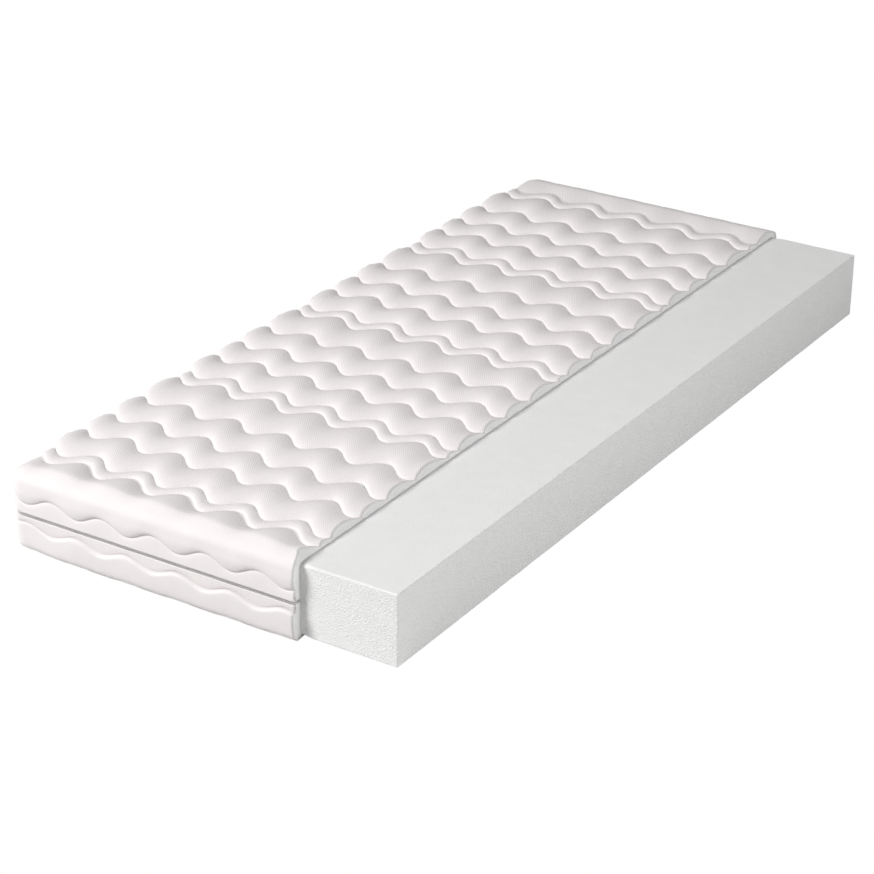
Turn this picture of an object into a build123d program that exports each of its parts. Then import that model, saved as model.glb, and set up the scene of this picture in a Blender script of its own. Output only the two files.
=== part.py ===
from build123d import *
import os
from math import cos, pi, sqrt

# Foam mattress in a zipped, quilted cover that is cut away along one long side.
# X is the width, Y the length and Z up. The origin is the centre of the whole part's footprint,
# on the floor. All sizes are in millimetres.

# Foam core: one block, with its two covered upright corners squeezed round by the cover
core_width = 900
core_length = 2000
core_height = 155
core_corner_radius = 15
core_bare_corner_radius = 4
core_edge_radius = 3

# Cover: knitted ticking quilted through wadding to a thin backing
cover_thickness = 14  # ticking, wadding and backing together, on the top
wall_thickness = 25  # the same laminate, fuller on the walls
base_thickness = 9  # the same laminate pressed flat under the core
ticking_thickness = 2
backing_thickness = 0.8
core_clearance = 0.3
cut_from_core_left = 681  # width of the core that the cover still hides
corner_radius = 43  # upright corners, seen from above
top_edge_radius = 26
base_edge_radius = 18

# Zip: it runs round the near end, the left side and the far end at mid height, in a valley
zip_above_core_base = 76.5
rim_gap = 3.7  # from the middle of the zip to the hem of either half of the cover
valley_depth = 7.3
upper_valley_height = 18
lower_valley_height = 12
tape_inner, tape_outer = 14.2, 15.2  # distances out from the core's wall
tape_slot_outer = 15.6
coil_outer = 17.0
half_slot = 0.6  # half of the gap between the two tapes, where the slider's web runs
coil_half_height = 2.2
tape_half_height = 14
stitch_band = (6.0, 6.4)  # the hem seam on the tape, measured from the middle of the zip
stitch_outer = 15.5

# Slider, parked at the closed end, near the far left corner
slider_y = 900
slider_length = 10
plate_half_height = 3.2
back_plate = (12.7, 13.7)
front_plate = (17.4, 18.6)
web_length = 3.5
web_half_height = 0.3
flange_inner = 15.6
flange_thickness = 0.6
bridge_length = 6.5
bridge_half_height = 1.2
bridge_top = 21.6
bridge_wall = 1.0
bridge_leg = 1.5
plate_nose_radius = 2.2

# Pull tab, hinged on a rod through the bridge
pull_axis_out = 19.6
pull_rod_radius = 0.6
pull_thickness = 1.0
pull_length = 28
pull_half_width = 2.8
pull_window_length = 5
pull_window_half_width = 1.6
pull_hole_radius = 1.2

# Quilting: rows of waves across the width, in cells that repeat along the length. Each cell
# starts and ends with a pair of close rows.
wave_length = 126.4
wave_amplitude = 20
wave_peak_from_core_left = 90
cell_starts = (-1336, -884, -432, 10, 475, 923)
cell_pitch = 452
row_fractions = (0, 0.2226, 0.4227, 0.6466, 0.9104)
row_limit = 960  # rows further out than this lie on the end walls
end_wave_amplitude = 10
upper_end_wave = 111  # height of the end wall's wave above the core's base
lower_end_wave = 50.5
lower_wave_amplitude = 8
thread_width = 1.2
thread_proud = 0.5

# Places worked out from the sizes
core_left = -core_width / 2 + wall_thickness / 2
core_right = core_left + core_width
core_base = base_thickness
core_top = core_base + core_height
cover_left = core_left - wall_thickness
cover_end = core_length / 2 + wall_thickness
cover_top = core_top + cover_thickness
cut_x = core_left + cut_from_core_left
zip_z = core_base + zip_above_core_base
upper_hem = zip_z + rim_gap
lower_hem = zip_z - rim_gap
backing_outer = core_clearance + backing_thickness
cover_arc_centre = corner_radius - wall_thickness  # how far inside the core's wall


def outline(out, centre_inside, right=cut_x):
    """A plan outline at a distance out from the core's wall. centre_inside is how far inside the
    wall its left corners' arcs are centred."""
    left = core_left - out
    with BuildSketch() as plan:
        with Locations(((left + right) / 2, 0)):
            Rectangle(right - left, core_length + 2 * out)
        left_corners = plan.vertices().sort_by(Axis.X)[:2]
        if centre_inside + out > 0:
            fillet(left_corners, centre_inside + out)
    return plan.sketch


def wall_band(inner, outer, low, high):
    """A strip of the cover's wall between two distances from the core and two heights."""
    with BuildPart() as band:
        with BuildSketch(Plane.XY.offset(low)):
            add(outline(outer, cover_arc_centre))
            add(outline(inner, cover_arc_centre), mode=Mode.SUBTRACT)
        extrude(amount=high - low)
    return band.part


def pocket(out, low, high):
    """The space round the core at a distance out from its walls, between two heights."""
    with BuildPart() as block:
        with BuildSketch(Plane.XY.offset(low)):
            add(outline(out, core_corner_radius))
        extrude(amount=high - low)
    return block.part


def envelope(inset, low, high, hem_on_top, edge_radius, valley_height):
    """Half of the cover's outer form, drawn in by inset: rounded over on the side away from the
    zip and bevelled into the valley on the side towards it."""
    slope = sqrt(1 + (valley_depth / valley_height) ** 2) - 1
    bevel_in = valley_depth + inset * slope
    bevel_up = bevel_in * valley_height / valley_depth
    with BuildPart() as half:
        with BuildSketch(Plane.XY.offset(low)):
            add(outline(wall_thickness - inset, cover_arc_centre))
        extrude(amount=high - low)
        levels = half.edges().group_by(Axis.Z)
        hem_level, far_level = (levels[-1], levels[0]) if hem_on_top else (levels[0], levels[-1])
        hem_face = half.faces().sort_by(Axis.Z)[-1 if hem_on_top else 0]
        fillet(far_level.sort_by(Axis.X)[:-1], edge_radius - inset)
        hem_edges = [edge for edge in half.edges().filter_by_position(
            Axis.Z, hem_face.center().Z - 0.01, hem_face.center().Z + 0.01).sort_by(Axis.X)][:-1]
        hem_face = half.faces().sort_by(Axis.Z)[-1 if hem_on_top else 0]
        chamfer(hem_edges, bevel_in, bevel_up, reference=hem_face)
    return half.part


def upper_form(inset):
    return envelope(inset, upper_hem, cover_top - inset, False, top_edge_radius,
                    upper_valley_height)


def lower_form(inset):
    return envelope(inset, inset, lower_hem, True, base_edge_radius, lower_valley_height)


def wave_strip(start, end, mean, amplitude):
    """A wavy strip in its own sketch plane, as wide as the quilting thread."""
    step = wave_length / 4
    count = int((end - start) / step) + 1
    places = [start + (end - start) * i / count for i in range(count + 1)]
    peak = core_left + wave_peak_from_core_left
    line = [(u, mean + amplitude * cos(2 * pi * (u - peak) / wave_length)) for u in places]
    low = [(u, v - thread_width / 2) for u, v in line]
    high = [(u, v + thread_width / 2) for u, v in line]
    with BuildSketch() as strip:
        with BuildLine():
            Spline(*low)
            Spline(*high)
            Line(low[0], high[0])
            Line(low[-1], high[-1])
        make_face()
    return strip.sketch


def end_walls():
    """Planes for threads on the near and far end walls, +X to the right. Both face the near end,
    so the far one stands off its wall by the thread's height."""
    near = Plane(origin=(0, -cover_end, 0), x_dir=(1, 0, 0), z_dir=(0, -1, 0))
    far = Plane(origin=(0, cover_end + thread_proud, 0), x_dir=(1, 0, 0), z_dir=(0, -1, 0))
    return near, far


# Foam core
with BuildPart() as foam_core:
    with BuildSketch(Plane.XY.offset(core_base)) as core_plan:
        add(outline(0, core_corner_radius, core_right))
        fillet(core_plan.vertices().sort_by(Axis.X)[-2:], core_bare_corner_radius)
    extrude(amount=core_height)
    fillet(foam_core.edges().group_by(Axis.Z)[0] + foam_core.edges().group_by(Axis.Z)[-1],
           core_edge_radius)

# Upper half of the cover, from the outside in
with BuildPart() as upper_ticking:
    add(upper_form(0))
    add(upper_form(ticking_thickness), mode=Mode.SUBTRACT)

with BuildPart() as upper_wadding:
    add(upper_form(ticking_thickness))
    add(pocket(backing_outer, upper_hem, core_top + backing_outer), mode=Mode.SUBTRACT)
    add(wall_band(tape_inner, tape_slot_outer, upper_hem, zip_z + tape_half_height),
        mode=Mode.SUBTRACT)

with BuildPart() as upper_backing:
    add(pocket(backing_outer, upper_hem, core_top + backing_outer))
    add(pocket(core_clearance, upper_hem, core_top + core_clearance), mode=Mode.SUBTRACT)

# Lower half of the cover
with BuildPart() as lower_ticking:
    add(lower_form(0))
    add(lower_form(ticking_thickness), mode=Mode.SUBTRACT)

with BuildPart() as lower_wadding:
    add(lower_form(ticking_thickness))
    add(pocket(backing_outer, core_base - backing_outer, lower_hem), mode=Mode.SUBTRACT)
    add(wall_band(tape_inner, tape_slot_outer, zip_z - tape_half_height, lower_hem),
        mode=Mode.SUBTRACT)

with BuildPart() as lower_backing:
    add(pocket(backing_outer, core_base - backing_outer, lower_hem))
    add(pocket(core_clearance, core_base - core_clearance, lower_hem), mode=Mode.SUBTRACT)

# Zip tapes, coils and the hem seams that hold the tapes
with BuildPart() as upper_zip_tape:
    add(wall_band(tape_inner, tape_outer, zip_z + half_slot, zip_z + tape_half_height))

with BuildPart() as lower_zip_tape:
    add(wall_band(tape_inner, tape_outer, zip_z - tape_half_height, zip_z - half_slot))

with BuildPart() as upper_zip_coil:
    add(wall_band(tape_outer, coil_outer, zip_z + half_slot, zip_z + coil_half_height))

with BuildPart() as lower_zip_coil:
    add(wall_band(tape_outer, coil_outer, zip_z - coil_half_height, zip_z - half_slot))

with BuildPart() as upper_hem_stitching:
    add(wall_band(tape_outer, stitch_outer, zip_z + stitch_band[0], zip_z + stitch_band[1]))

with BuildPart() as lower_hem_stitching:
    add(wall_band(tape_outer, stitch_outer, zip_z - stitch_band[1], zip_z - stitch_band[0]))

# Slider body: a back plate behind the tapes, a web in the slot between them, and a front plate
# with flanges and a bridge. The web stands in for the wedge that parts the coils.
slider_wall = Plane(origin=(core_left, slider_y, zip_z), x_dir=(0, 1, 0), z_dir=(-1, 0, 0))

with BuildPart() as zip_slider_body:
    with BuildSketch(slider_wall.offset(back_plate[0])):
        RectangleRounded(slider_length, 2 * plate_half_height, plate_nose_radius)
    extrude(amount=back_plate[1] - back_plate[0])
    with BuildSketch(slider_wall.offset(back_plate[1])):
        Rectangle(web_length, 2 * web_half_height)
    extrude(amount=front_plate[0] - back_plate[1])
    with BuildSketch(slider_wall.offset(front_plate[0])):
        RectangleRounded(slider_length, 2 * plate_half_height, plate_nose_radius)
    extrude(amount=front_plate[1] - front_plate[0])
    with BuildSketch(slider_wall.offset(flange_inner)):
        flange_middle = plate_half_height - flange_thickness / 2
        with Locations((0, flange_middle), (0, -flange_middle)):
            Rectangle(slider_length - 2 * plate_nose_radius, flange_thickness)
    extrude(amount=front_plate[0] - flange_inner)
    with BuildSketch(slider_wall.offset(front_plate[1])):
        Rectangle(bridge_length, 2 * bridge_half_height)
    extrude(amount=bridge_top - front_plate[1])
    bridge_ends = zip_slider_body.edges().filter_by(Axis.Z).group_by(Axis.X)[0]
    fillet(bridge_ends, bridge_wall)
    with BuildSketch(slider_wall.offset(front_plate[1])):
        Rectangle(bridge_length - 2 * bridge_leg, 2 * bridge_half_height)
    extrude(amount=bridge_top - bridge_wall - front_plate[1], mode=Mode.SUBTRACT)

# Pull tab: its end rod runs through the bridge and its window clears the bridge as it swings
with BuildPart() as zip_pull_tab:
    with BuildSketch(slider_wall.offset(pull_axis_out - pull_thickness / 2)):
        with Locations((-pull_length / 2, 0)):
            RectangleRounded(pull_length, 2 * pull_half_width, pull_half_width - 0.4)
        with Locations((-(pull_window_length + pull_rod_radius) / 2, 0)):
            Rectangle(pull_window_length - pull_rod_radius, 2 * pull_window_half_width,
                      mode=Mode.SUBTRACT)
        with Locations((pull_half_width - pull_length, 0)):
            Circle(pull_hole_radius, mode=Mode.SUBTRACT)
    extrude(amount=pull_thickness)
    with BuildSketch(Plane.XY.offset(zip_z - pull_window_half_width)):
        with Locations((core_left - pull_axis_out, slider_y)):
            Rectangle(3 * pull_rod_radius, 4 * pull_rod_radius)
    extrude(amount=2 * pull_window_half_width, mode=Mode.SUBTRACT)
    with BuildSketch(Plane.XY.offset(zip_z - pull_window_half_width)):
        with Locations((core_left - pull_axis_out, slider_y)):
            Circle(pull_rod_radius)
    extrude(amount=2 * pull_window_half_width)

# Quilting threads, as groups of wavy strips on the cover's skin
row_places = [
    start + fraction * cell_pitch
    for start in cell_starts
    for fraction in row_fractions
    if abs(start + fraction * cell_pitch) < row_limit
]

with BuildPart() as upper_quilting_thread:
    with BuildSketch(Plane.XY.offset(cover_top)):
        for row in row_places:
            add(wave_strip(cover_left + top_edge_radius, cut_x, row, wave_amplitude))
    extrude(amount=thread_proud)
    for wall in end_walls():
        with BuildSketch(wall):
            add(wave_strip(cover_left + corner_radius, cut_x, core_base + upper_end_wave,
                           end_wave_amplitude))
        extrude(amount=thread_proud)

with BuildPart() as lower_quilting_thread:
    for wall in end_walls():
        with BuildSketch(wall):
            add(wave_strip(cover_left + corner_radius, cut_x, core_base + lower_end_wave,
                           -lower_wave_amplitude))
        extrude(amount=thread_proud)

foam_core.part.label = "foam_core"
upper_ticking.part.label = "upper_ticking"
upper_wadding.part.label = "upper_wadding"
upper_backing.part.label = "upper_backing"
lower_ticking.part.label = "lower_ticking"
lower_wadding.part.label = "lower_wadding"
lower_backing.part.label = "lower_backing"
upper_zip_tape.part.label = "upper_zip_tape"
lower_zip_tape.part.label = "lower_zip_tape"
upper_zip_coil.part.label = "upper_zip_coil"
lower_zip_coil.part.label = "lower_zip_coil"
upper_hem_stitching.part.label = "upper_hem_stitching"
lower_hem_stitching.part.label = "lower_hem_stitching"
zip_slider_body.part.label = "zip_slider_body"
zip_pull_tab.part.label = "zip_pull_tab"
upper_quilting_thread.part.label = "upper_quilting_thread"
lower_quilting_thread.part.label = "lower_quilting_thread"

os.makedirs("parts", exist_ok=True)
export_step(foam_core.part, "parts/foam_core.step")
export_step(upper_ticking.part, "parts/upper_ticking.step")
export_step(upper_wadding.part, "parts/upper_wadding.step")
export_step(upper_backing.part, "parts/upper_backing.step")
export_step(lower_ticking.part, "parts/lower_ticking.step")
export_step(lower_wadding.part, "parts/lower_wadding.step")
export_step(lower_backing.part, "parts/lower_backing.step")
export_step(upper_zip_tape.part, "parts/upper_zip_tape.step")
export_step(lower_zip_tape.part, "parts/lower_zip_tape.step")
export_step(upper_zip_coil.part, "parts/upper_zip_coil.step")
export_step(lower_zip_coil.part, "parts/lower_zip_coil.step")
export_step(upper_hem_stitching.part, "parts/upper_hem_stitching.step")
export_step(lower_hem_stitching.part, "parts/lower_hem_stitching.step")
export_step(zip_slider_body.part, "parts/zip_slider_body.step")
export_step(zip_pull_tab.part, "parts/zip_pull_tab.step")
export_step(upper_quilting_thread.part, "parts/upper_quilting_thread.step")
export_step(lower_quilting_thread.part, "parts/lower_quilting_thread.step")
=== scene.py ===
from math import cos, pi, radians, sin

import bmesh
import bpy
import numpy as np
from mathutils import Matrix, Vector
from mathutils.noise import noise as noise_of


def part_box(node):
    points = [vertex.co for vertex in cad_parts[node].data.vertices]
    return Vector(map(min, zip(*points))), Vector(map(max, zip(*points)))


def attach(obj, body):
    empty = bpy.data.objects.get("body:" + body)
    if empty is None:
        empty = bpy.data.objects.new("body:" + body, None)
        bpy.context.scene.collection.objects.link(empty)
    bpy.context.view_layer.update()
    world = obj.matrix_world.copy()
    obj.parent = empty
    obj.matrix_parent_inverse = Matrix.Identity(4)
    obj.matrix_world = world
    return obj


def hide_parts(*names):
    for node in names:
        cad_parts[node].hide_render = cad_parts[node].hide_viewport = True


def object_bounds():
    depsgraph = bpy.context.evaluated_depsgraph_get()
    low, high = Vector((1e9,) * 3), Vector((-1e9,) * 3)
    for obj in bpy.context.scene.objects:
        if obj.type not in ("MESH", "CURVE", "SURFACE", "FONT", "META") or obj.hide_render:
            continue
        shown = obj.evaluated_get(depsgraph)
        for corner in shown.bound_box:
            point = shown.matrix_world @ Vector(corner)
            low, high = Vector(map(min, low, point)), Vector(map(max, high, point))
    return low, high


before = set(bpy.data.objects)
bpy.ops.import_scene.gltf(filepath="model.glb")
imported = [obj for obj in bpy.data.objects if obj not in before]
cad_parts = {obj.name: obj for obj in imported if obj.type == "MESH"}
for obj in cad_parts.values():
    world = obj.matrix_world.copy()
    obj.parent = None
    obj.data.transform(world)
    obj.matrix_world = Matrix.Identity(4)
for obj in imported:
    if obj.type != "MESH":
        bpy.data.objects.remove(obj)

# A foam mattress in a quilted, zipped cover that is cut away along one long side. Every mesh is in
# metres, in the CAD frame. Each half of the cover is worked out from a sewn skin, which lies close
# to the foam along the quilted rows, and a puff, which stands off that skin between the rows.
cad_low, cad_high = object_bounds()

# ---------------------------------------------------------------- places from the frame
core_low, core_high = (Vector(corner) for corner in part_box("foam_core"))
cut_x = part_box("upper_backing")[1][0]
zip_z = (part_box("lower_zip_tape")[0][2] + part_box("upper_zip_tape")[1][2]) / 2
upper_hem_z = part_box("upper_backing")[0][2]
lower_hem_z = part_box("lower_backing")[1][2]
floor_z = cad_low[2]

# ---------------------------------------------------------------- the cover's shape, in metres
CORNER_IN = 0.018        # the upright corners' arcs are centred this far inside the core's walls
EDGE_R = 0.007           # the cover squeezes the core's hidden long edges to this radius
SEWN_TOP = 0.005         # the sewn skin's distance from the core, over it
SEWN_BASE = 0.003        # the same under it
SEWN_WALL = 0.016        # the same on the walls, where the cover is looser
TICKING = 0.0012         # thickness
BACKING_OUT, BACKING_IN = 0.0009, 0.0002     # the backing's two faces, out from the core
LAYER_GAP = 0.00005      # keeps one layer's face off the next one's
HEM_OUT = 0.0030         # how much further out than the sewn skin the hems stand
HEM_LIP = 0.0032         # thickness of a hem, with its turned-in edge
HEM_TUCK = 0.15          # the hem's very edge tucks in by this share of HEM_OUT,
HEM_TUCK_REACH = 0.03    # over this share of the strip between the border seam and the hem
HEM_LIP_UP, HEM_LIP_BLEND = 0.006, 0.004     # height of the turned-in edge, and of its taper
HEM_STITCH_IN = 0.0025   # from the hem's edge to its seam
TAPE_REACH = 0.0103      # how far behind the hem the zip's tape goes
TAPE_CLEAR, TAPE_BLEND = 0.003, 0.002        # the wadding's room beside the tape, and its taper
BEHIND_TAPE = 0.0020     # how far inside the sewn skin the wadding stays there

WAVE = 0.1264            # wave length of the quilted rows
WAVE_PEAK = core_low.x + 0.090
ROW_AMPLITUDE = 0.020
FIRST_ROW = -0.922       # Y of the row nearest the near end
CELL_STARTS = (-0.884, -0.432, 0.010, 0.475, 0.923)  # the rows repeat in cells of five, which start here
ROW_FRACTIONS = (0, 0.2226, 0.4227, 0.6466, 0.9104)  # where a cell's rows are
UPPER_BORDER_UP, UPPER_BORDER_WAVE = 0.111, 0.0105   # the border seam's mean height over the core's
LOWER_BORDER_UP, LOWER_BORDER_WAVE = 0.053, -0.0085  # base, and its amplitude

WIDE_ROW, NARROW_ROW = 0.100, 0.040    # the widths of channel that puff up the most and the least,
PUFF_WIDE, PUFF_NARROW = 0.0118, 0.0054              # and how high they do
PUFF_EDGE = 0.0150       # the fullest a wide channel gets, where it turns down over the edge
PUFF_ROLL = (0.0200, 0.0120)   # the long roll over the near and the far end
ROLL_EDGE = 0.0055       # the same roll, where it comes over the edge
PUFF_WALL = 0.0080       # the same on the walls
WALL_BLEND = 0.025       # how far down the wall the edge's puff goes over to the wall's
PUFF_BASE = 0.0055       # the fullest the lower half gets, under the core
PUFF_LOW_WALL = 0.0100   # the same on its walls, at the top
LOW_RISE_FROM = 0.45     # it starts to fill out at this share of the turn over the edge,
LOW_RISE_TO = 0.040      # is full this far up the wall,
LOW_RISE_POWER = 1.7     # and rises fastest where it starts
CORNER_REACH = 0.130     # the upright corners pull the cover tight, over this distance
UPPER_CORNER_PUFF, LOWER_CORNER_PUFF = 0.8, 0.3          # the puff that is left right at a corner
UNEVEN = 0.05            # the filling's unevenness, as a share of its height
CREST_SHIFT = 0.84       # below 1, a channel is fullest nearer its -Y seam
FACE_POWER, EDGE_POWER = 0.90, 0.55    # how a channel's section goes from an arc to a flatter top
CLOSE_POWER = 0.55       # how steeply a channel's end rises from the border seam
UPPER_BORDER_REACH = 0.040   # distance over which a channel's end closes on the border seam
LOWER_BORDER_REACH = 0.007
ROLL_REACH = 0.120       # distance over which an end's roll closes on its first row
CUT_SETBACK = 0.75       # how far the ticking is drawn back at the cut, for each metre of puff
WALL_SETBACK = 0.1       # the share of that which is left on the walls

RIB_BUNCHING = 0.65      # how far a rib's grid points bunch towards the border seam, from 0 to 1
CORNER_LINES = 9         # grid lines round an upright corner
STRIP_LINES = 9          # grid lines down the strip between the border seam and the hem
SETTLE_ROUNDS = 6        # rounds that it takes to settle where a side rib meets the border seam

FLAT = CORNER_IN - EDGE_R
centre_x = core_low.x + CORNER_IN
near_y, far_y = core_low.y + CORNER_IN, core_high.y - CORNER_IN
corner_run = (CORNER_IN + SEWN_WALL) * pi / 2
side_run = far_y - near_y
ENDS = ((-1, near_y), (1, far_y))        # the way out in Y, and where the corners' arcs are centred


class Half:
    """One half of the cover. sign is +1 for the half over the core and -1 for the one under it. A
    rib starts at the corner arcs' centres, runs out along the face, turns over the edge and goes
    down the wall; e is the distance along it on the sewn skin."""

    def __init__(self, name, sign, face_z, sewn, hem_z, border_z, border_amplitude, border_reach,
                 corner_puff):
        self.name, self.sign, self.face_z, self.sewn = name, sign, face_z, sewn
        self.border_reach, self.corner_puff = border_reach, corner_puff
        self.flat = FLAT + SEWN_WALL - sewn
        self.arc = (EDGE_R + sewn) * pi / 2
        self.wall_start = self.flat + self.arc
        self.hem_e = self.down_to(hem_z)
        self.border_z, self.border_amplitude = border_z, border_amplitude

    def down_to(self, z):
        return self.wall_start - EDGE_R + self.sign * (self.face_z - z)

    def border_e(self, phase):
        """Where a rib meets the border seam."""
        return self.down_to(self.border_z + self.border_amplitude * np.cos(phase))

    def turned(self, e):
        """How far round the edge a place is, from 0 to 1."""
        return np.clip((e - self.flat) / self.arc, 0, 1)

    def place(self, x, y, dx, dy, e, out, on_core=False):
        """Points at a distance out from the sewn skin, or from the core. x, y is where the rib
        starts and dx, dy its direction in plan."""
        angle = self.turned(e) * pi / 2
        flat, radius = (FLAT, EDGE_R) if on_core else (self.flat, EDGE_R + self.sewn)
        along = np.clip(e / self.flat, 0, 1) * flat + (radius + out) * np.sin(angle)
        down = EDGE_R - (radius + out) * np.cos(angle) + np.clip(e - self.wall_start, 0, None)
        z = self.face_z - self.sign * down
        return np.stack(np.broadcast_arrays(x + dx * along, y + dy * along, z), axis=-1)

    def puff_limit(self, e, face, edge, wall):
        """The fullest puff at a place, from its values on the face, over the edge and on the
        wall. Under the core the floor holds the edge flat too."""
        if self.sign < 0:
            low, high = self.flat + LOW_RISE_FROM * self.arc, self.wall_start + LOW_RISE_TO
            rise = np.clip((e - low) / (high - low), 0, 1)
            return PUFF_BASE + (PUFF_LOW_WALL - PUFF_BASE) * (1 - (1 - rise) ** LOW_RISE_POWER)
        rise = smooth(e / (self.flat + self.arc / 2))
        fall = smooth((e - self.wall_start) / WALL_BLEND)
        return face + (edge - face) * rise + (wall - edge) * fall


def smooth(x):
    x = np.clip(x, 0, 1)
    return x * x * (3 - 2 * x)


def dome(x, power=CLOSE_POWER):
    """From 0 at a seam to 1. The lower the power, the steeper it starts."""
    return (1 - (1 - np.clip(x, 0, 1)) ** 3) ** power


def ripple(u, v):
    """Slow unevenness of the filling, from -1 to 1."""
    return (np.sin(23 * u + 1.3 * np.sin(17 * v)) + np.sin(41 * v + 9 * u + 2.0)
            + np.sin(67 * u - 31 * v + 0.7)) / 3


upper = Half("upper", 1, face_z=core_high.z, sewn=SEWN_TOP, hem_z=upper_hem_z,
             border_z=core_low.z + UPPER_BORDER_UP, border_amplitude=UPPER_BORDER_WAVE,
             border_reach=UPPER_BORDER_REACH, corner_puff=UPPER_CORNER_PUFF)
lower = Half("lower", -1, face_z=core_low.z, sewn=SEWN_BASE, hem_z=lower_hem_z,
             border_z=core_low.z + LOWER_BORDER_UP, border_amplitude=LOWER_BORDER_WAVE,
             border_reach=LOWER_BORDER_REACH, corner_puff=LOWER_CORNER_PUFF)

cells = list(zip(CELL_STARTS, CELL_STARTS[1:]))
row_means = [FIRST_ROW] + [a + f * (b - a) for a, b in cells for f in ROW_FRACTIONS]
row_means.append(CELL_STARTS[-1])


def end_phase(x):
    return 2 * pi * (x - WAVE_PEAK) / WAVE


def row_y(index, u):
    return row_means[index] + ROW_AMPLITUDE * np.cos(end_phase(u))


def side_phase(travel):
    """The border wave's phase at a distance round from the near end's corner. Its length is
    trimmed so that it meets the far end's wave."""
    start, length = end_phase(centre_x), 2 * corner_run + side_run
    turns = round((2 * start - 2 * pi * length / WAVE) / (2 * pi))
    return start - travel * (2 * start - 2 * pi * turns) / length


def corner_turns(end, count):
    """Angles round an upright corner, from the end wall to the long side, and how far round from
    the near end's corner each one is."""
    turn = np.linspace(0, pi / 2, count)
    travel = turn / (pi / 2) * corner_run
    return turn, travel if end < 0 else 2 * corner_run + side_run - travel


def on_side_ribs(half, shares, y_at):
    """Places on the ribs of the long side, at shares of the way to the border seam, where y is
    y_at(u). The seam's height depends on y, so the two are settled in turn."""
    e = shares * half.border_e(0)
    for _ in range(SETTLE_ROUNDS):
        u = centre_x - e
        y = y_at(u)
        border = half.border_e(side_phase(corner_run + y - near_y))
        e = shares * border
    return u, y, e, border


# ---------------------------------------------------------------- patches of the cover
class Layer:
    """What a layer of one half is made of: its outer and inner faces, and how finely it is
    divided. A face is a function of (e, puff, half) that gives a distance out and whether that is
    measured from the core."""

    def __init__(self, outer, inner, setback, columns, across, rib):
        self.outer, self.inner, self.setback = outer, inner, setback
        self.columns, self.across, self.rib = columns, across, rib


def patch(half, layer, x, y, dx, dy, e, puff, u, v, edge):
    """Outer points, inner points and (u, v) of a grid. edge is 1 at the cut and 0 at the far side
    of the top, and carries the cut's slope across the columns."""
    x, y, e, puff, u, v, edge = np.broadcast_arrays(x, y, e, puff, u, v, edge)
    faces = []
    for face, setback in ((layer.outer, layer.setback[0]), (layer.inner, layer.setback[1])):
        out, on_core = face(e, puff, half)
        fade = 1 - (1 - WALL_SETBACK) * smooth(e / half.wall_start)
        back = edge * CUT_SETBACK * puff * setback * fade
        faces.append(half.place(x - back, y, dx, dy, e, out, on_core))
    return faces[0], faces[1], np.stack([u, v], axis=-1)


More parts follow.
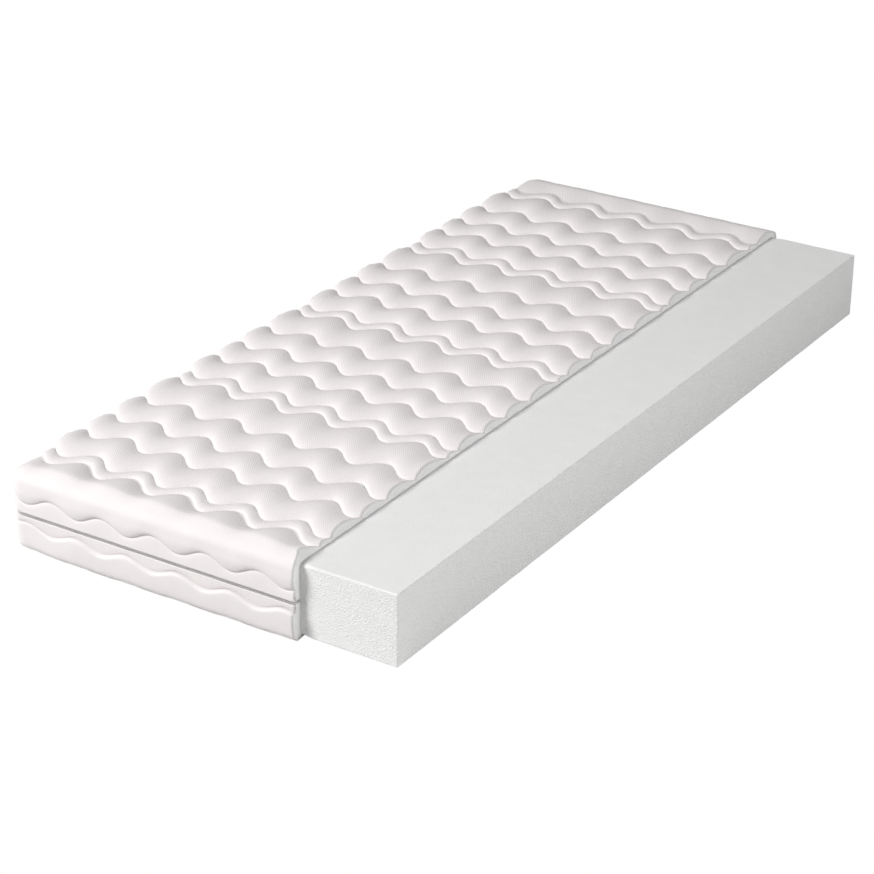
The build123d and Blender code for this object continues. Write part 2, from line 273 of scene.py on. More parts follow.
def cover_patches(half, layer):
    """The grids of one half: the channels, the roll over each end with its corner, and the wall
    strip between the border seam and the hem."""
    edge = np.linspace(1, 0, layer.columns + 1)[None, :]
    top_x = centre_x + (cut_x - centre_x) * edge
    steps = np.linspace(0, 1, layer.rib + 1)
    ribs = (1 - RIB_BUNCHING) * steps + RIB_BUNCHING * np.sin(steps * pi / 2)
    across = 0.5 * (1 - np.cos(np.linspace(0, pi, layer.across + 1)))[:, None]
    inward = np.linspace(0, 1, layer.across // 2 + 2)[:, None]
    grids, side_y, side_ends = [], [], []

    def corner_share(u, v):
        """Less than 1 near the upright corners, which pull the cover tight."""
        near_side = 1 - smooth((u - centre_x) / CORNER_REACH)
        near_end = 1 - smooth((far_y - np.abs(v)) / CORNER_REACH)
        return 1 - (1 - half.corner_puff) * near_side * near_end

    def channel_puff(index, share, v, e, gap, u):
        width = row_means[index + 1] - row_means[index]
        full = np.clip((width - NARROW_ROW) / (WIDE_ROW - NARROW_ROW), 0, 1)
        top, rim, wall = ((PUFF_NARROW + (wide - PUFF_NARROW) * full)
                          for wide in (PUFF_WIDE, PUFF_EDGE, PUFF_WALL))
        limit = half.puff_limit(e, top, rim, wall)
        if half.sign > 0:
            limit = limit * (1 + UNEVEN * ripple(u, v))
        power = FACE_POWER + (EDGE_POWER - FACE_POWER) * smooth(e / half.wall_start)
        share = share ** CREST_SHIFT
        return (limit * corner_share(u, v) * (4 * share * (1 - share)) ** power
                * dome(gap / half.border_reach))

    def roll_puff(end, to_border, to_row, e, u, v):
        roll = PUFF_ROLL[0 if end < 0 else 1]
        limit = half.puff_limit(e, roll, ROLL_EDGE, PUFF_WALL) * corner_share(u, v)
        return limit * dome(to_border / half.border_reach) * dome(to_row / ROLL_REACH, 1)

    # Channels between the rows, over the top and down the long side
    for index in range(len(row_means) - 1):
        def channel_y(u):
            return row_y(index, u) + across * (row_y(index + 1, u) - row_y(index, u))

        v = channel_y(top_x)
        puff = channel_puff(index, across, v, 0 * top_x, 1, top_x)
        grids.append(patch(half, layer, top_x, v, 0, 0, 0, puff, top_x, v, edge))
        u, v, e, border = on_side_ribs(half, ribs[None, :], channel_y)
        puff = channel_puff(index, across, v, e, border - e, u)
        grids.append(patch(half, layer, centre_x, v, -1, 0, e, puff, u, v, 0))
        side_y.append(v[None, :, -1])

    # The roll over each end
    for (end, start_y), index in zip(ENDS, (0, len(row_means) - 1)):
        to_row = np.abs(row_y(index, top_x) - start_y)
        border = half.border_e(end_phase(top_x))
        e = ribs[:, None] * border
        v = start_y + end * e
        puff = roll_puff(end, border - e, to_row + e, e, top_x, v)
        grids.append(patch(half, layer, top_x, start_y, 0, end, e, puff, top_x, v, edge))
        v = start_y - end * inward * to_row
        puff = roll_puff(end, border, to_row - np.abs(v - start_y), 0 * v, top_x, v)
        grids.append(patch(half, layer, top_x, v, 0, 0, 0, puff, top_x, v, edge))

        turn, travel = (values[None, :] for values in corner_turns(end, CORNER_LINES))
        border = half.border_e(side_phase(travel))
        e = ribs[:, None] * border
        blend = smooth(turn / (pi / 2))
        straight = np.abs(row_y(index, centre_x) - start_y) + e
        round_side = np.abs(row_y(index, centre_x - e) - start_y)
        u, v = centre_x - e * np.sin(turn), start_y + end * e * np.cos(turn)
        puff = roll_puff(end, border - e, (1 - blend) * straight + blend * round_side, e, u, v)
        grids.append(patch(half, layer, centre_x, start_y, -np.sin(turn), end * np.cos(turn), e,
                           puff, u, v, 0))

        u, v, e, border = on_side_ribs(
            half, ribs[None, :], lambda u: start_y + inward * (row_y(index, u) - start_y))
        puff = roll_puff(end, border - e, np.abs(row_y(index, u) - v), e, u, v)
        grids.append(patch(half, layer, centre_x, v, -1, 0, e, puff, u, v, 0))
        side_ends.append(v[None, :, -1])

    # The strip between the border seam and the hem, all the way round
    down = 0.5 * (1 - np.cos(np.linspace(0, pi, STRIP_LINES)))[:, None]

    def strip(x, y, dx, dy, border, edge=0):
        e = border + down * (half.hem_e - border)
        lift = HEM_OUT * dome(down) * (1 - HEM_TUCK * smooth((down - 1) / HEM_TUCK_REACH + 1))
        return patch(half, layer, x, y, dx, dy, e, lift, x + dx * e, y + dy * e, edge)

    for end, start_y in ENDS:
        grids.append(strip(top_x, start_y, 0, end, half.border_e(end_phase(top_x)), edge))
        turn, travel = (values[None, :] for values in corner_turns(end, CORNER_LINES))
        grids.append(strip(centre_x, start_y, -np.sin(turn), end * np.cos(turn),
                           half.border_e(side_phase(travel))))
    for y in side_y + side_ends:
        grids.append(strip(centre_x, y, -1, 0, half.border_e(side_phase(corner_run + y - near_y))))
    return grids


def ticking_outer(e, puff, half):
    return puff, False


def ticking_inner(e, puff, half):
    lip = smooth((e - half.hem_e + HEM_LIP_UP) / HEM_LIP_BLEND)
    return puff - TICKING - lip * (HEM_LIP - TICKING), False


def wadding_outer(e, puff, half):
    """Under the ticking, and behind the zip's tape beside the hem."""
    behind = smooth((e - half.hem_e + TAPE_REACH + TAPE_CLEAR) / TAPE_BLEND)
    return (1 - behind) * (puff - TICKING - LAYER_GAP) - behind * BEHIND_TAPE, False


def wadding_inner(e, puff, half):
    return BACKING_OUT + LAYER_GAP, True


def backing_outer(e, puff, half):
    return BACKING_OUT, True


def backing_inner(e, puff, half):
    return BACKING_IN, True


ticking_layer = Layer(ticking_outer, ticking_inner, setback=(1, 1), columns=120, across=12, rib=14)
wadding_layer = Layer(wadding_outer, wadding_inner, setback=(1, 0), columns=60, across=8, rib=8)
backing_layer = Layer(backing_outer, backing_inner, setback=(0, 0), columns=8, across=2, rib=8)


# ---------------------------------------------------------------- mesh helpers
def add_object(name, vertices, faces, material, uv=None):
    """A smooth-shaded mesh. uv is a place on the cloth for each vertex."""
    mesh = bpy.data.meshes.new(name)
    mesh.from_pydata([tuple(v) for v in vertices], [], [tuple(f) for f in faces])
    if uv is not None:
        loops = np.empty(len(mesh.loops), dtype=np.int64)
        mesh.loops.foreach_get("vertex_index", loops)
        mesh.uv_layers.new(name="cloth").data.foreach_set("uv", np.asarray(uv)[loops].ravel())
    mesh.polygons.foreach_set("use_smooth", [True] * len(mesh.polygons))
    mesh.materials.append(material)
    thing = bpy.data.objects.new(name, mesh)
    bpy.context.scene.collection.objects.link(thing)
    return thing


def grid_quads(rows, columns, first):
    """The faces of a grid of points that are numbered row by row, from first on."""
    index = first + np.arange(rows * columns).reshape(rows, columns)
    return np.stack([index[:-1, :-1], index[1:, :-1], index[1:, 1:], index[:-1, 1:]],
                    axis=-1).reshape(-1, 4)


def face_outwards(thing):
    work = bmesh.new()
    work.from_mesh(thing.data)
    bmesh.ops.recalc_face_normals(work, faces=work.faces)
    work.to_mesh(thing.data)
    work.free()


ROUNDING_OFFSET = 0.37e-6
FRAY_WAVES = ((2100, 5.0), (830, 2.1))       # each wave's angle per metre of Y, and per rim row
FRAY_BIAS = -0.3         # the fibres are drawn in more than they stand out


def shell(name, grids, material, rim_rows=1, fray=0.0):
    """A closed solid between the outer and inner points of some grids that share their edges.
    The rim is divided into rim_rows, and frayed by pushing its middle rows along X."""
    outside, inside, uv, quads, count = [], [], [], [], 0
    for outer, inner, place in grids:
        rows, columns = outer.shape[:2]
        quads.append(grid_quads(rows, columns, count))
        outside.append(outer.reshape(-1, 3))
        inside.append(inner.reshape(-1, 3))
        uv.append(place.reshape(-1, 2))
        count += rows * columns
    outside, inside, uv = np.concatenate(outside), np.concatenate(inside), np.concatenate(uv)
    quads = np.concatenate(quads)
    # Points on shared edges are merged. The offset keeps round measures away from a rounding step
    _, first, merged = np.unique(np.round(outside + ROUNDING_OFFSET, 6), axis=0, return_index=True,
                                 return_inverse=True)
    merged = merged.reshape(-1)
    outside, inside, uv, quads = outside[first], inside[first], uv[first], merged[quads]
    total = len(outside)
    faces, used = [], {}
    for quad in quads.tolist():
        ring = [v for i, v in enumerate(quad) if v != quad[i - 1]]
        if len(ring) < 3:
            continue
        faces.append(ring)
        for a, b in zip(ring, ring[1:] + ring[:1]):
            key = (min(a, b), max(a, b))
            used[key] = (a, b) if key not in used else None
    all_faces = faces + [[v + total for v in reversed(ring)] for ring in faces]
    points, places = [outside, inside], [uv, uv]
    rim = [ends for ends in used.values() if ends]
    rim_vertices = sorted({v for ends in rim for v in ends})
    column = {v: [v] for v in rim_vertices}
    made = 2 * total
    for row in range(1, rim_rows):
        share = row / rim_rows
        level = outside[rim_vertices] * (1 - share) + inside[rim_vertices] * share
        at_cut = level[:, 0] > centre_x + 0.9 * (cut_x - centre_x)
        waves = [np.sin(level[:, 1] * turn + per_row * row) for turn, per_row in FRAY_WAVES]
        level[:, 0] += at_cut * fray * (sum(waves) / len(waves) + FRAY_BIAS) * sin(pi * share)
        points.append(level)
        places.append(uv[rim_vertices])
        for v in rim_vertices:
            column[v].append(made)
            made += 1
    for v in rim_vertices:
        column[v].append(v + total)
    for a, b in rim:
        for upper_row, lower_row in zip(range(rim_rows), range(1, rim_rows + 1)):
            all_faces.append([column[b][upper_row], column[a][upper_row],
                              column[a][lower_row], column[b][lower_row]])
    thing = add_object(name, np.concatenate(points), all_faces, material, np.concatenate(places))
    face_outwards(thing)
    return thing


def capsules(starts, ends, ups, side_radius, up_radius, sink=0.0, sides=6):
    """Small closed rods from starts to ends, thickest from a fifth to four fifths of the way, with
    pointed tips pushed down by sink."""
    axis = ends - starts
    length = np.linalg.norm(axis, axis=1, keepdims=True)
    axis = axis / length
    side = np.cross(axis, ups)
    side /= np.linalg.norm(side, axis=1, keepdims=True)
    up = np.cross(side, axis)
    points = [starts - up * sink]
    for share in (0.2, 0.8):
        middle = starts + axis * length * share
        for k in range(sides):
            angle = 2 * pi * k / sides
            points.append(middle + side * side_radius * cos(angle) + up * up_radius * sin(angle))
    points.append(ends - up * sink)
    points = np.stack(points, axis=1)
    each = 2 * sides + 2
    ring = []
    for k in range(sides):
        a, b = 1 + k, 1 + (k + 1) % sides
        ring += [[0, b, a], [a, b, b + sides, a + sides], [each - 1, a + sides, b + sides]]
    faces = [[v + i * each for v in face] for i in range(len(starts)) for face in ring]
    return points.reshape(-1, 3), faces


def resample(line, spacing, *others):
    """Points at an even spacing along a line of points, and what others are there."""
    lengths = np.concatenate([[0], np.cumsum(np.linalg.norm(np.diff(line, axis=0), axis=1))])
    at = np.linspace(0, lengths[-1], max(int(lengths[-1] / spacing), 1) + 1)
    return [np.stack([np.interp(at, lengths, points[:, i]) for i in range(3)], axis=1)
            for points in (line, *others)]


def round_the_walls(out, spacing):
    """Places along the three walls, evenly spaced at a distance out from the core: where each rib
    starts in plan, and the way out."""
    end_run, turn_run = cut_x - centre_x, (CORNER_IN + out) * pi / 2
    stops = np.cumsum([0, end_run, turn_run, side_run, turn_run, end_run])
    travel = np.arange(spacing / 2, stops[-1], spacing)
    angle = np.interp(travel, stops, [0, 0, pi / 2, pi / 2, pi, pi])
    x = np.interp(travel, stops, [cut_x] + [centre_x] * 4 + [cut_x])
    y = np.interp(travel, stops, [near_y] * 3 + [far_y] * 3)
    return x, y, -np.sin(angle), -np.cos(angle)


# ---------------------------------------------------------------- materials
RIB_TURN, RIB_PITCH, LOOP_PITCH = 30, 0.0042, 0.0018     # the knit's ribs turn this far from X, in
DIMPLE_PITCH = 0.0016                                    # degrees; pitches are in metres
TAPE_WARP_PITCH, TAPE_RIB_PITCH = 0.0011, 0.0009

# Each look's darkest and palest colour
TICKING_COLOURS = (0.76, 0.715, 0.71), (0.925, 0.895, 0.89)
BACKING_COLOURS = (0.70, 0.69, 0.68), (0.88, 0.87, 0.86)
WADDING_COLOURS = (0.88, 0.88, 0.87), (0.98, 0.98, 0.975)
FOAM_COLOURS = (0.77, 0.765, 0.76), (0.93, 0.925, 0.92)
THREAD_COLOURS = (0.72, 0.70, 0.69), (0.90, 0.88, 0.87)
TAPE_COLOURS = (0.74, 0.74, 0.73), (0.88, 0.88, 0.87)
COIL_COLOURS = (0.66, 0.66, 0.65), (0.82, 0.82, 0.81)
METAL_COLOURS = (0.50, 0.50, 0.51), (0.74, 0.74, 0.75)


def add_node(material, kind, inputs=(), **settings):
    """A shader node. inputs are pairs of a socket and its value, or the output that feeds it."""
    node = material.node_tree.nodes.new("ShaderNode" + kind)
    for name, value in settings.items():
        setattr(node, name, value)
    for socket, value in inputs:
        if isinstance(value, bpy.types.NodeSocket):
            material.node_tree.links.new(value, node.inputs[socket])
        else:
            node.inputs[socket].default_value = value
    return node


def calculate(material, operation, a, b=0.0, c=0.0):
    return add_node(material, "Math", [(0, a), (1, b), (2, c)], operation=operation).outputs[0]


def between(material, amount, colours):
    """A colour between two others."""
    low, high = colours
    mix = add_node(material, "Mix", data_type="RGBA", inputs=[(0, amount), (6, (*low, 1)),
                                                              (7, (*high, 1))])
    return mix.outputs[2]


def noise(material, where, scale, detail=2.0, roughness=0.5):
    return add_node(material, "TexNoise", [("Vector", where), ("Scale", scale), ("Detail", detail),
                                           ("Roughness", roughness)]).outputs[0]


def lines(material, where, turn, pitch, wobble=0.0):
    """Ridges from 0 to 1, pitch apart, across a direction turned from X."""
    turned = add_node(material, "Mapping", [("Vector", where), ("Rotation", (0, 0, turn))])
    # A wave texture's bands are pi / 10 apart at a scale of 1
    return add_node(material, "TexWave", [("Vector", turned.outputs[0]), ("Scale", pi / (10 * pitch)),
                                          ("Distortion", wobble), ("Detail Scale", 1.0)]).outputs[1]


def new_look(name, roughness, sheen=0.0, specular=0.3):
    material = bpy.data.materials.new(name)
    material.use_nodes = True
    shader = material.node_tree.nodes["Principled BSDF"]
    shader.inputs["Roughness"].default_value = roughness
    shader.inputs["Sheen Weight"].default_value = sheen
    shader.inputs["Sheen Roughness"].default_value = 0.6
    shader.inputs["Specular IOR Level"].default_value = specular
    return material, shader


def finish_look(material, shader, colour, height, depth):
    """Gives a material its colour, and bumps depth metres high."""
    bump = add_node(material, "Bump", [("Height", height), ("Distance", depth)])
    material.node_tree.links.new(bump.outputs[0], shader.inputs["Normal"])
    material.node_tree.links.new(colour, shader.inputs["Base Color"])
    return material


def cloth_place(material):
    return add_node(material, "UVMap", uv_map="cloth").outputs[0]


def object_place(material):
    return add_node(material, "TexCoord").outputs["Object"]


def make_ticking_look():
    """Knitted ticking: fine crossing ribs, with the knit's loops between them."""
    material, shader = new_look("knitted_ticking", 0.85, sheen=0.12, specular=0.2)
    where = cloth_place(material)
    ribs = lines(material, where, radians(RIB_TURN), RIB_PITCH, 0.4)
    cross = lines(material, where, radians(-RIB_TURN), RIB_PITCH, 0.4)
    loops = lines(material, where, radians(90), LOOP_PITCH, 0.6)
    knit = calculate(material, "MULTIPLY_ADD", cross, 1.0, ribs)
    knit = calculate(material, "MULTIPLY_ADD", loops, 0.35, knit)
    patches = noise(material, where, 9.0, 3.0)
    fuzz = noise(material, where, 900.0, 2.0, 0.7)
    tone = calculate(material, "MULTIPLY_ADD", patches, 0.5, calculate(material, "MULTIPLY", knit, 0.14))
    tone = calculate(material, "MULTIPLY_ADD", fuzz, 0.12, tone)
    colour = between(material, tone, TICKING_COLOURS)
    height = calculate(material, "MULTIPLY_ADD", fuzz, 0.3, knit)
    return finish_look(material, shader, colour, height, 0.00022)


def make_backing_look():
    """Thin non-woven backing cloth with a fine dimple pattern."""
    material, shader = new_look("backing_cloth", 0.9)
    where = cloth_place(material)
    warp = lines(material, where, 0, DIMPLE_PITCH)
    weft = lines(material, where, radians(90), DIMPLE_PITCH)
    dimples = calculate(material, "MULTIPLY", warp, weft)
    tone = calculate(material, "MULTIPLY_ADD", noise(material, where, 60.0, 3.0), 0.7, dimples)
    colour = between(material, tone, BACKING_COLOURS)
    return finish_look(material, shader, colour, dimples, 0.0002)


def make_wadding_look():
    """Polyester wadding: fibres in loose layers, most of them lying along the sheet."""
    material, shader = new_look("polyester_wadding", 0.95, sheen=0.3)
    stretched = add_node(material, "Mapping", [("Vector", object_place(material)),
                                               ("Scale", (160, 55, 420))])
    layers = noise(material, stretched.outputs[0], 1.0, 4.0, 0.65)
    tufts = noise(material, object_place(material), 260.0, 4.0, 0.7)
    tone = calculate(material, "MULTIPLY_ADD", tufts, 0.6, calculate(material, "MULTIPLY", layers, 0.6))
    colour = between(material, tone, WADDING_COLOURS)
    return finish_look(material, shader, colour, tone, 0.0016)


def make_foam_look():
    """Open-cell foam: fine pores, smoother where the sheet was sliced on its top and base. The walls'
    colour is also made darker than the top and base, as painted shade.
    """
    material, shader = new_look("open_cell_foam", 0.92, specular=0.15)
    where = object_place(material)
    pores = add_node(material, "TexVoronoi", [("Vector", where), ("Scale", 330.0)]).outputs["Distance"]
    grain = noise(material, where, 420.0, 3.0, 0.65)
    blotches = noise(material, where, 26.0, 3.0)
    facing = add_node(material, "SeparateXYZ", [(0, add_node(material, "NewGeometry").outputs["Normal"])])
    sliced = calculate(material, "POWER", calculate(material, "ABSOLUTE", facing.outputs[2]), 4.0)
    # 1 on the walls and 0.25 on the top and base: how strongly the pores show, and how much painted shade
    # darkens the colour
    pores_and_wall_shade = calculate(material, "MULTIPLY_ADD", sliced, -0.75, 1.0)
    cells = calculate(material, "MULTIPLY", calculate(material, "ADD", pores, grain), pores_and_wall_shade)
    tone = calculate(material, "MULTIPLY_ADD", blotches, 0.30, calculate(material, "MULTIPLY", cells, 0.45))
    # painted shade: the walls' colour is made darker than the top's and the base's
    tone = calculate(material, "MULTIPLY_ADD", pores_and_wall_shade, -0.22, calculate(material, "ADD", tone, 0.30))
    colour = between(material, tone, FOAM_COLOURS)
    return finish_look(material, shader, colour, cells, 0.0010)


def make_thread_look():
    """Twisted polyester sewing thread."""
    material, shader = new_look("sewing_thread", 0.55, sheen=0.2)
    where = object_place(material)
    ply = noise(material, where, 1500.0, 1.0)
    return finish_look(material, shader, between(material, ply, THREAD_COLOURS), ply, 0.0001)


def make_tape_look():
    """Woven zip tape, with ribs along it."""
    material, shader = new_look("woven_zip_tape", 0.85, sheen=0.1)
    where = object_place(material)
    warp = lines(material, where, radians(90), TAPE_WARP_PITCH)
    height = add_node(material, "SeparateXYZ", [(0, where)]).outputs[2]
    turns = calculate(material, "MULTIPLY", height, 2 * pi / TAPE_RIB_PITCH)
    ribs = calculate(material, "SINE", turns)
    weave = calculate(material, "MULTIPLY_ADD", ribs, 0.25, calculate(material, "MULTIPLY", warp, 0.5))
    return finish_look(material, shader, between(material, weave, TAPE_COLOURS), weave, 0.0003)


def make_coil_look():
    """Nylon zip coil."""
    material, shader = new_look("nylon_zip_coil", 0.35, specular=0.5)
    where = object_place(material)
    grain = noise(material, where, 700.0, 2.0)
    return finish_look(material, shader, between(material, grain, COIL_COLOURS), grain, 0.00008)


def make_metal_look():
    """Die-cast slider, plated and lightly scuffed."""
    material, shader = new_look("plated_slider_metal", 0.3, specular=0.5)
    shader.inputs["Metallic"].default_value = 1.0
    where = object_place(material)
    scuffs = noise(material, where, 1800.0, 4.0, 0.7)
    wear = noise(material, where, 160.0, 3.0)
    roughness = calculate(material, "MULTIPLY_ADD", scuffs, 0.25, 0.18)
    material.node_tree.links.new(roughness, shader.inputs["Roughness"])
    return finish_look(material, shader, between(material, wear, METAL_COLOURS), scuffs, 0.00004)


ticking_look, wadding_look, backing_look = make_ticking_look(), make_wadding_look(), make_backing_look()
foam_look, thread_look, tape_look = make_foam_look(), make_thread_look(), make_tape_look()
coil_look, metal_look = make_coil_look(), make_metal_look()


# ---------------------------------------------------------------- the cover
def settle(thing, body, slot, *nodes):
    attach(thing, body)
    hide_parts(*nodes)
    return thing


STITCH, STITCH_PITCH, THREAD_R = 0.0040, 0.0050, 0.00035
STITCH_SINK = 0.0003     # how far the ends of a stitch are pulled into the cloth
ROW_POINTS, TURN_POINTS, SIDE_POINTS = 500, 60, 2000     # points along a seam before it is divided


def stitched(half, lines_of_places):
    """Stitches along lines of (x, y, dx, dy, e, out) over one half's sewn skin."""
    starts, ends, ups = [], [], []
    for x, y, dx, dy, e, out in lines_of_places:
        line = half.place(x, y, dx, dy, e, out)
        above = half.place(x, y, dx, dy, e, out + THREAD_R)
        spots, tops = resample(line, STITCH_PITCH, above - line)
        starts.append(spots[:-1])
        ends.append(spots[:-1] + (spots[1:] - spots[:-1]) * STITCH / STITCH_PITCH)
        ups.append(tops[:-1])
    return capsules(np.concatenate(starts), np.concatenate(ends), np.concatenate(ups),
                    THREAD_R, THREAD_R, sink=STITCH_SINK, sides=5)


def quilt_lines(half):
    """The seams of one half: each row over the top and down the side, and the border seam."""
    lift = THREAD_R / 2
    steps = np.linspace(0, 1, ROW_POINTS)
    for index in range(len(row_means)):
        x = cut_x + (centre_x - cut_x) * steps[1:]
        yield x, row_y(index, x), 0, 0, 0 * x, lift
        _, y, e, _ = on_side_ribs(half, steps, lambda u: row_y(index, u))
        yield centre_x, y, -1, 0, e, lift
    x = cut_x + (centre_x - cut_x) * steps
    for end, start_y in ENDS:
        yield x, start_y, 0, end, half.border_e(end_phase(x)), lift
        turn, travel = corner_turns(end, TURN_POINTS)
        yield (centre_x, start_y, -np.sin(turn), end * np.cos(turn),
               half.border_e(side_phase(travel)), lift)
    y = np.linspace(near_y, far_y, SIDE_POINTS)
    yield centre_x, y, -1, 0, half.border_e(side_phase(corner_run + y - near_y)), lift


HEM_STEP = 0.001         # spacing of the points along a hem's seam before it is divided
TOOTH_PITCH, TOOTH_HALF_WIDTH = 0.0014, 0.00048
COIL_IN, COIL_OUT = 0.0152, 0.0170       # out from the core's walls
COIL_NEAR, COIL_FAR = 0.00035, 0.0022    # up or down from the zip's middle
FRAY_ROWS, FRAY = 4, 0.0012              # the wadding's cut edge: its rows, and how far it frays

for half in (upper, lower):
    side = half.name
    ticking = shell(side + "_ticking_cloth", cover_patches(half, ticking_layer), ticking_look)
    wadding = shell(side + "_wadding_fill", cover_patches(half, wadding_layer), wadding_look,
                    FRAY_ROWS, FRAY)
    backing = shell(side + "_backing_cloth", cover_patches(half, backing_layer), backing_look)
    for thing, part in ((ticking, "ticking"), (wadding, "wadding"), (backing, "backing")):
        settle(thing, "cover", part, side + "_" + part)

    points, faces = stitched(half, quilt_lines(half))
    stitches = add_object(side + "_quilting_stitches", points, faces, thread_look)
    settle(stitches, "cover", "thread", side + "_quilting_thread")

    x, y, dx, dy = round_the_walls(SEWN_WALL + HEM_OUT, HEM_STEP)
    e = half.hem_e - HEM_STITCH_IN
    points, faces = stitched(half, [(x, y, dx, dy, e, HEM_OUT + THREAD_R / 4)])
    hem = add_object(side + "_hem_stitches", points, faces, thread_look)
    settle(hem, "cover", "thread", side + "_hem_stitching")

    out = (COIL_IN + COIL_OUT) / 2
    x, y, dx, dy = round_the_walls(out, TOOTH_PITCH)
    shift = (1 + half.sign) / 4 * TOOTH_PITCH    # the upper teeth are half a pitch further on
    along = np.stack([x + dx * (CORNER_IN + out) - dy * shift, y + dy * (CORNER_IN + out) + dx * shift],
                     axis=1)
    starts = np.column_stack([along, zip_z + half.sign * COIL_NEAR + 0 * x])
    ends = np.column_stack([along, zip_z + half.sign * COIL_FAR + 0 * x])
    ups = np.column_stack([dx, dy, 0 * x])
    points, faces = capsules(starts, ends, ups, TOOTH_HALF_WIDTH, (COIL_OUT - COIL_IN) / 2)
    teeth = add_object(side + "_zip_teeth", points, faces, coil_look)
    settle(teeth, "cover", "zip_coil", side + "_zip_coil")


# ---------------------------------------------------------------- the foam
FOAM_STEP = 0.009
EDGE_BAND = 0.028        # width of the finely divided band along each edge
BARE_R = 0.003           # the bare edges are sawn nearly square
BARE_FROM, BARE_TO = -0.002, 0.028   # X from the cut, where the edge goes from round to square
EDGE_LOOPS = (0, 0.0008, 0.0016, 0.0024, 0.0034, 0.005, 0.0075, 0.011, 0.015, 0.020)
WANDERS = ((9, 0.0006, (0, 0, 0)), (90, 0.0003, (5, 2, 1)))   # noise: scale, height and offset
SURFACE_BAND = 0.004     # points this close to a face wander in from it
WANDER_FROM, WANDER_TO = -0.020, 0.010       # X from the cut, where that starts and where it is full


def graded(low, high):
    """Places for the grid lines across the foam, close together near both edges."""
    steps = round((high - low - 2 * EDGE_BAND) / FOAM_STEP)
    middle = np.linspace(low + EDGE_BAND, high - EDGE_BAND, steps + 1)
    loops = np.array(EDGE_LOOPS)
    return np.concatenate([low + loops, middle, (high - loops)[::-1]])


def foam_block():
    """The block's points and faces."""
    axes = [graded(core_low[i], core_high[i]) for i in range(3)]
    points, quads, count = [], [], 0
    for axis in range(3):
        a, b = [i for i in range(3) if i != axis]
        ga, gb = np.meshgrid(axes[a], axes[b], indexing="ij")
        for level in (core_low[axis], core_high[axis]):
            face = np.empty(ga.shape + (3,))
            face[..., a], face[..., b], face[..., axis] = ga, gb, level
            quads.append(grid_quads(*ga.shape, count))
            points.append(face.reshape(-1, 3))
            count += ga.size
    points, quads = np.concatenate(points), np.concatenate(quads)
    _, first, merged = np.unique(np.round(points, 6), axis=0, return_index=True, return_inverse=True)
    points, quads = points[first], merged.reshape(-1)[quads]

    # Each point is drawn in to an ellipsoid of the edge's radius about the nearest inner point
    bare = smooth((points[:, 0] - cut_x - BARE_FROM) / (BARE_TO - BARE_FROM))
    plan_r, edge_r = CORNER_IN + (BARE_R - CORNER_IN) * bare, EDGE_R + (BARE_R - EDGE_R) * bare
    radius = np.stack([plan_r, plan_r, edge_r], axis=1)
    low, high = np.array(core_low) + radius, np.array(core_high) - radius
    inner = np.clip(points, low, high)
    reach = (points - inner) / radius
    length = np.maximum(np.linalg.norm(reach, axis=1, keepdims=True), 1e-9)
    most = np.maximum(np.abs(reach).max(axis=1, keepdims=True), 1e-9)
    points = inner + reach / length * most * radius

    # Its bare faces wander in a little; the covered ones stay clear of the cover
    wander = np.array([[sum(noise_of(Vector(p) * scale + Vector(offset)) * height
                            for scale, height, offset in WANDERS)] for p in points])
    middle, size = np.array(core_low + core_high) / 2, np.array(core_high - core_low)
    away = np.sign(points - middle) * (np.abs(points - middle) > size / 2 - SURFACE_BAND)
    shown = smooth((points[:, 0:1] - cut_x - WANDER_FROM) / (WANDER_TO - WANDER_FROM))
    return points - away * np.abs(wander) * shown, quads


points, quads = foam_block()
foam = add_object("foam_block", points, quads, foam_look)
face_outwards(foam)
settle(foam, "core", "foam", "foam_core")

for name, look in (("upper_zip_tape", tape_look), ("lower_zip_tape", tape_look),
                   ("zip_slider_body", metal_look), ("zip_pull_tab", metal_look)):
    for material_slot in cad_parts[name].material_slots:
        material_slot.material = look

# ---------------------------------------------------------------- floor, camera and light
WORLD_STRENGTH = 0.18
KEY = {"power": 900, "size": 4.0, "where": (-5.0, -6.0, 5.6), "aim": (0, 0, 0.1)}
FILL = {"power": 98, "size": 2.5, "where": (4.6, -0.9, 1.7), "aim": (0.4, 0, 0.1)}
FLOOR_HALF, FLOOR_GREY = 40, 0.55
CAMERA_PLACE = (2.73633, -4.45378, 2.48197)
CAMERA_YAW, CAMERA_PITCH, CAMERA_ROLL = radians(-32.403), radians(25.787), radians(0.449)
CAMERA_LENS, SENSOR_WIDTH = 107.0, 36


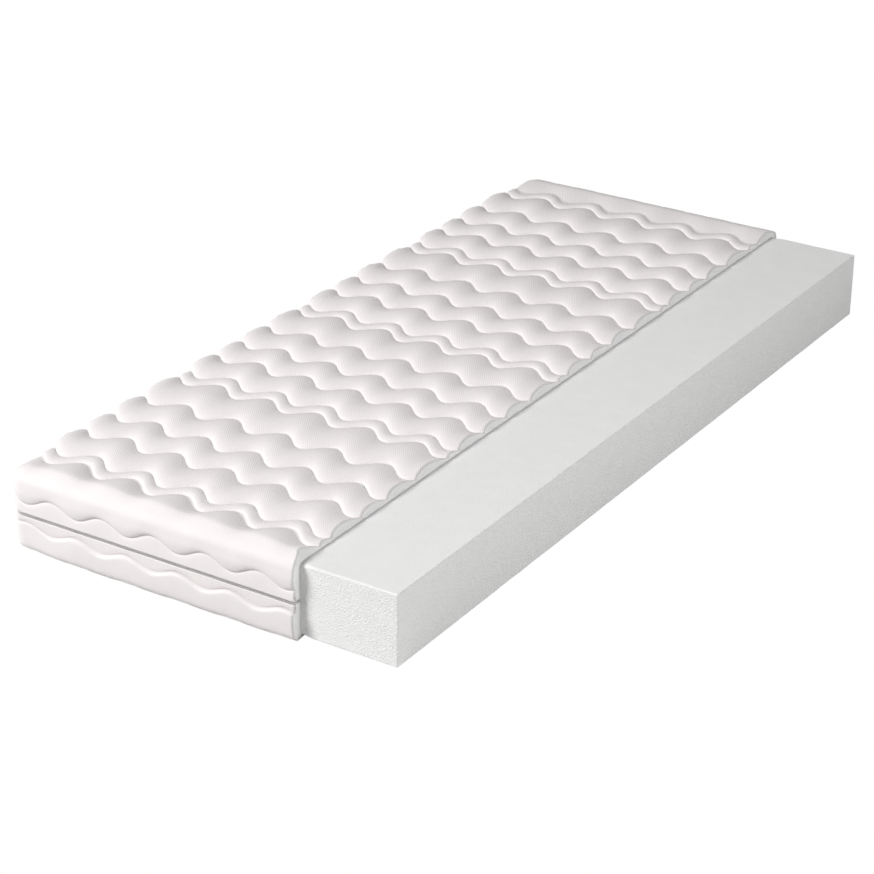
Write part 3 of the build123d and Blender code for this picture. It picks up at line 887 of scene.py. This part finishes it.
def make_floor_look():
    """Grey in the light it sends on to the object, and pure white to the camera."""
    material = bpy.data.materials.new("pale_floor")
    material.use_nodes = True
    nodes, links = material.node_tree.nodes, material.node_tree.links
    shader = nodes["Principled BSDF"]
    shader.inputs["Base Color"].default_value = (FLOOR_GREY, FLOOR_GREY, FLOOR_GREY, 1)
    shader.inputs["Roughness"].default_value = 1
    white = add_node(material, "Emission", [("Color", (1, 1, 1, 1)), ("Strength", 1.0)])
    seen = add_node(material, "LightPath").outputs["Is Camera Ray"]
    mixed = add_node(material, "MixShader", [(0, seen), (1, shader.outputs[0]), (2, white.outputs[0])])
    links.new(mixed.outputs[0], nodes["Material Output"].inputs[0])
    return material


def add_light(name, power, size, where, aim):
    data = bpy.data.lights.new(name, "AREA")
    data.shape, data.size, data.energy = "DISK", size, power
    light = bpy.data.objects.new(name, data)
    light.location = where
    light.rotation_euler = (Vector(aim) - Vector(where)).to_track_quat("-Z", "Y").to_euler()
    bpy.context.scene.collection.objects.link(light)


floor_corners = [(x * FLOOR_HALF, y * FLOOR_HALF, floor_z) for x, y in ((-1, -1), (1, -1), (1, 1), (-1, 1))]
floor = add_object("floor", floor_corners, [(0, 1, 2, 3)], make_floor_look())

forward = Vector((sin(CAMERA_YAW) * cos(CAMERA_PITCH), cos(CAMERA_YAW) * cos(CAMERA_PITCH),
                  -sin(CAMERA_PITCH)))
across_view = Vector((cos(CAMERA_YAW), -sin(CAMERA_YAW), 0))
up_view = across_view.cross(forward)
right = across_view * cos(CAMERA_ROLL) + up_view * sin(CAMERA_ROLL)
up = up_view * cos(CAMERA_ROLL) - across_view * sin(CAMERA_ROLL)
camera_data = bpy.data.cameras.new("camera")
camera_data.lens, camera_data.sensor_width = CAMERA_LENS, SENSOR_WIDTH
camera = bpy.data.objects.new("camera", camera_data)
place = Matrix((right, up, -forward)).transposed().to_4x4()
place.translation = CAMERA_PLACE
camera.matrix_world = place
bpy.context.scene.collection.objects.link(camera)
bpy.context.scene.camera = camera

# The world lights the object a little, and is white to the camera past the floor's edge
world = bpy.data.worlds.new("world")
world.use_nodes = True
background = world.node_tree.nodes["Background"]
background.inputs["Color"].default_value = (1, 1, 1, 1)
world_seen = add_node(world, "LightPath").outputs["Is Camera Ray"]
strength = calculate(world, "MAXIMUM", world_seen, WORLD_STRENGTH)
world.node_tree.links.new(strength, background.inputs["Strength"])
bpy.context.scene.world = world

add_light("key", **KEY)
add_light("fill", **FILL)
bpy.context.scene.view_settings.view_transform = "Standard"
